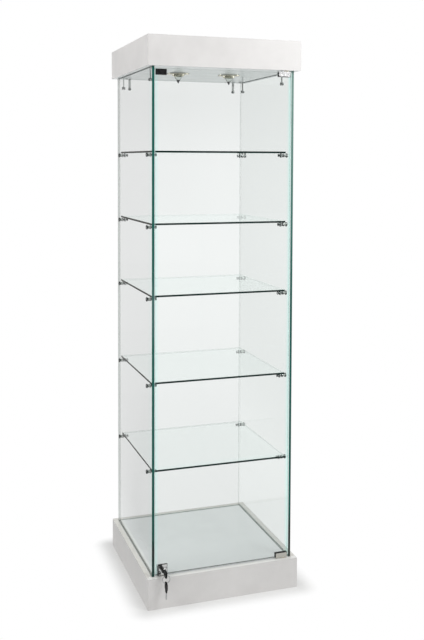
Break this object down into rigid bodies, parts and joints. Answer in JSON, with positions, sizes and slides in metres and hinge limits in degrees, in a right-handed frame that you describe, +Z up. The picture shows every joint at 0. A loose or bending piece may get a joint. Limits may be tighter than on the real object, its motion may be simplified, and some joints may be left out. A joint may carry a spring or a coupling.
{
  "type": "display case",
  "caption": "Tall square glass display case with a white plinth and canopy, glass shelves on turned studs, ceiling lights and a pivot-hung glass door with a key lock.",
  "frame": {"origin": "centre of the plinth's footprint, on the floor", "axes": "+X to the right as one faces the door, door towards -Y, +Z up"},
  "size_m": [0.51, 0.5484, 1.8],
  "materials": {
    "white_laminate": "white melamine laminate on chipboard, satin",
    "raw_board": "bare chipboard",
    "clear_glass": "clear float glass with green ground edges",
    "dark_seal": "dark gaskets",
    "pale_seal": "pale glazing profile",
    "polished_chrome": "polished chrome",
    "nylon": "natural nylon",
    "clear_rubber": "translucent soft ring",
    "bronzed_metal": "pale bronzed metal, satin",
    "dark_metal": "dark grey metal, satin",
    "lamp_glass": "clear pressed glass",
    "bare_aluminium": "spun, unpolished",
    "ceramic": "white ceramic look",
    "transformer_housing": "moulded, fine texture",
    "lead_insulation": "heat-resistant sleeve",
    "black_plastic": "black moulded plastic",
    "satin_nickel": "satin nickel plate",
    "turned_brass": "turned",
    "plain_steel": "zinc-plated steel"
  },
  "bodies": {
    "case": {"plinth_front_panel": "white_laminate", "plinth_back_panel": "white_laminate", "plinth_left_panel": "white_laminate", "plinth_right_panel": "white_laminate", "plinth_top_board": "white_laminate", "plinth_bottom_board": "raw_board", "corner_blocks": "raw_board", "glazing_channel": "pale_seal", "left_glass_wall": "clear_glass", "right_glass_wall": "clear_glass", "back_glass_wall": "clear_glass", "glass_shelf_1": "clear_glass", "glass_shelf_2": "clear_glass", "glass_shelf_3": "clear_glass", "glass_shelf_4": "clear_glass", "glass_shelf_5": "clear_glass", "shelf_studs": "polished_chrome", "stud_caps": "polished_chrome", "stud_sleeves": "nylon", "stud_rings": "clear_rubber", "canopy_front_panel": "white_laminate", "canopy_back_panel": "white_laminate", "canopy_left_panel": "white_laminate", "canopy_right_panel": "white_laminate", "canopy_ceiling_board": "white_laminate", "canopy_top_board": "white_laminate", "canopy_brackets": "polished_chrome", "bracket_knobs": "polished_chrome", "bracket_screws": "polished_chrome", "lamp_bezels": "bronzed_metal", "lamp_cans": "bare_aluminium", "lamp_holders": "ceramic", "lamp_capsules": "lamp_glass", "lamp_drops": "lamp_glass", "lamp_spikes": "dark_metal", "transformer": "transformer_housing", "lamp_leads": "lead_insulation", "supply_gland": "black_plastic", "pivot_bushes": "turned_brass", "strike_plate": "plain_steel"},
    "door": {"door_glass": "clear_glass", "lower_hinge_clamp": "satin_nickel", "upper_hinge_clamp": "satin_nickel", "door_gaskets": "dark_seal", "hinge_screws": "plain_steel", "pivot_pins": "plain_steel", "lock_front_plate": "polished_chrome", "lock_case": "plain_steel", "lock_case_cover": "plain_steel", "lock_screws": "plain_steel", "lock_barrel": "polished_chrome", "blank_plate": "black_plastic"},
    "cylinder": {"lock_plug": "polished_chrome", "lock_cam": "plain_steel"},
    "bolt": {"lock_bolt": "plain_steel"},
    "key": {"key_blade": "plain_steel", "key_bow": "black_plastic"},
    "ring": {"key_ring": "plain_steel"},
    "spare_key": {"spare_key_blade": "plain_steel", "spare_key_bow": "black_plastic"}
  },
  "joints": [
    {"name": "door_swing", "type": "hinge", "parent": "case", "child": "door", "pos_m": [0.212, -0.235, 0.0995], "axis": [0, 0, 1], "range_deg": [0, 110]},
    {"name": "cylinder_turn", "type": "hinge", "parent": "door", "child": "cylinder", "pos_m": [-0.203, -0.251, 0.118], "axis": [0, 1, 0], "range_deg": [0, 90]},
    {"name": "bolt_throw", "type": "slide", "parent": "door", "child": "bolt", "axis": [0, 0, -1], "range_m": [0, 0.0064]},
    {"name": "key_withdraw", "type": "slide", "parent": "cylinder", "child": "key", "axis": [0, -1, 0], "range_m": [0, 0.03]},
    {"name": "ring_swing", "type": "hinge", "parent": "key", "child": "ring", "pos_m": [-0.203, -0.2799, 0.11615], "axis": [-1, 0, 0], "range_deg": [-2, 75]},
    {"name": "spare_key_swing", "type": "hinge", "parent": "ring", "child": "spare_key", "pos_m": [-0.203, -0.2799, 0.09215], "axis": [-1, 0, 0], "range_deg": [-2, 80]}
  ],
  "couplings": [
    {"joint": "bolt_throw", "follows": "cylinder_turn", "m_per_rad": 0.004051}
  ]
}
